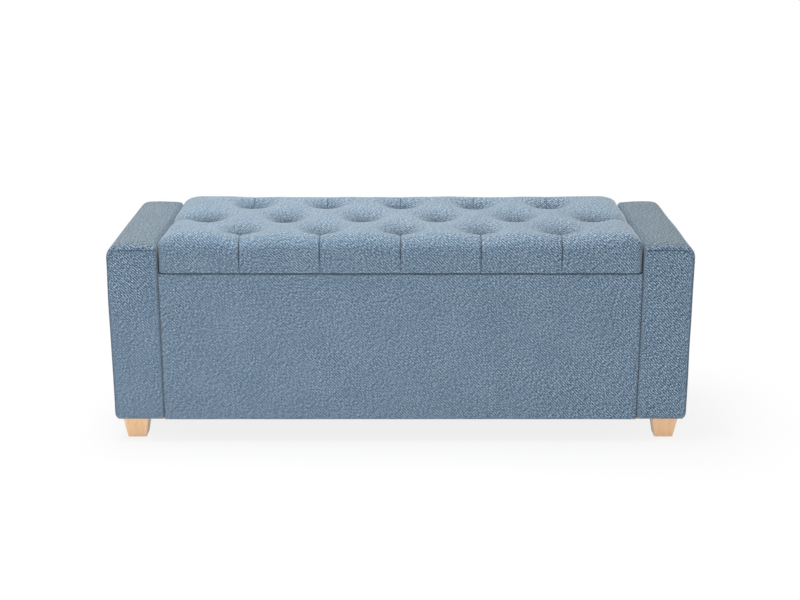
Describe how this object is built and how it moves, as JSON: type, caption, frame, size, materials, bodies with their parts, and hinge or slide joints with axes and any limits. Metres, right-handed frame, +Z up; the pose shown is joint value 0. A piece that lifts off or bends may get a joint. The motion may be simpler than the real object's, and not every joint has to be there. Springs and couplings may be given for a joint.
{
  "type": "storage bench",
  "caption": "Upholstered storage bench: a diamond-tufted seat lid hinged at the rear closes a fabric-covered storage box between low box arms, on short tapered wooden legs.",
  "frame": {"origin": "on the floor under the middle of the bench's box", "axes": "+Z up, +X along the bench to the right as seen from the front, -Y out of the front panel"},
  "size_m": [1.27, 0.42, 0.478],
  "materials": {
    "upholstery_fabric": "matte",
    "foam": "matte",
    "board": "matte",
    "timber": "matte",
    "leg_wood": "satin",
    "lining": "matte",
    "glide_plastic": "satin",
    "twine": "matte",
    "strut_black": "gloss",
    "steel": "satin"
  },
  "bodies": {
    "base": {"arm_dust_covers": "lining", "corner_cleats": "timber", "floor_cleats": "timber", "floor_panel": "board", "frame_screws": "steel", "front_left_leg": "leg_wood", "front_liner": "lining", "front_panel_board": "board", "front_panel_cover": "upholstery_fabric", "front_panel_padding": "foam", "front_right_leg": "leg_wood", "left_arm_base_board": "board", "left_arm_cover": "upholstery_fabric", "left_arm_end_boards": "board", "left_arm_inner_board": "board", "left_arm_outer_board": "board", "left_arm_padding": "foam", "left_arm_top_board": "board", "left_hinge_frame_leaf": "steel", "left_hinge_pin": "steel", "left_strut_frame_bracket": "steel", "leg_bolts": "steel", "leg_glides": "glide_plastic", "leg_tee_nuts": "steel", "panel_bolts": "steel", "panel_tee_nuts": "steel", "rear_left_leg": "leg_wood", "rear_liner": "lining", "rear_panel_board": "board", "rear_panel_cover": "upholstery_fabric", "rear_right_leg": "leg_wood", "right_arm_base_board": "board", "right_arm_cover": "upholstery_fabric", "right_arm_end_boards": "board", "right_arm_inner_board": "board", "right_arm_outer_board": "board", "right_arm_padding": "foam", "right_arm_top_board": "board", "right_hinge_frame_leaf": "steel", "right_hinge_pin": "steel", "right_strut_frame_bracket": "steel", "side_liners": "lining"},
    "lid": {"lid_board": "board", "lid_foam": "foam", "lid_cover": "upholstery_fabric", "lid_lining": "lining", "tuft_ties": "twine", "lid_screws": "steel", "left_hinge_lid_leaf": "steel", "right_hinge_lid_leaf": "steel", "left_strut_lid_bracket": "steel", "right_strut_lid_bracket": "steel"},
    "left_strut_tube": {"left_strut_cylinder": "strut_black"},
    "left_strut_shaft": {"left_strut_rod": "steel"},
    "right_strut_tube": {"right_strut_cylinder": "strut_black"},
    "right_strut_shaft": {"right_strut_rod": "steel"}
  },
  "joints": [
    {"name": "lid_hinge", "type": "hinge", "parent": "base", "child": "lid", "pos_m": [0, 0.2071, 0.3885], "axis": [-1, 0, 0], "range_deg": [0, 90]},
    {"name": "left_strut_swing", "type": "hinge", "parent": "base", "child": "left_strut_tube", "pos_m": [-0.514, -0.0329, 0.2985], "axis": [1, 0, 0], "range_deg": [0, 9.84]},
    {"name": "left_strut_slide", "type": "slide", "parent": "left_strut_tube", "child": "left_strut_shaft", "axis": [0, 0.934, 0.3574], "range_m": [0, 0.05202]},
    {"name": "right_strut_swing", "type": "hinge", "parent": "base", "child": "right_strut_tube", "pos_m": [0.514, -0.0329, 0.2985], "axis": [1, 0, 0], "range_deg": [0, 9.84]},
    {"name": "right_strut_slide", "type": "slide", "parent": "right_strut_tube", "child": "right_strut_shaft", "axis": [0, 0.934, 0.3574], "range_m": [0, 0.05202]}
  ],
  "couplings": [
    {"joint": "left_strut_swing", "follows": "lid_hinge", "ratio": 0.1093},
    {"joint": "left_strut_slide", "follows": "lid_hinge", "m_per_rad": 0.033117},
    {"joint": "right_strut_swing", "follows": "lid_hinge", "ratio": 0.1093},
    {"joint": "right_strut_slide", "follows": "lid_hinge", "m_per_rad": 0.033117}
  ]
}
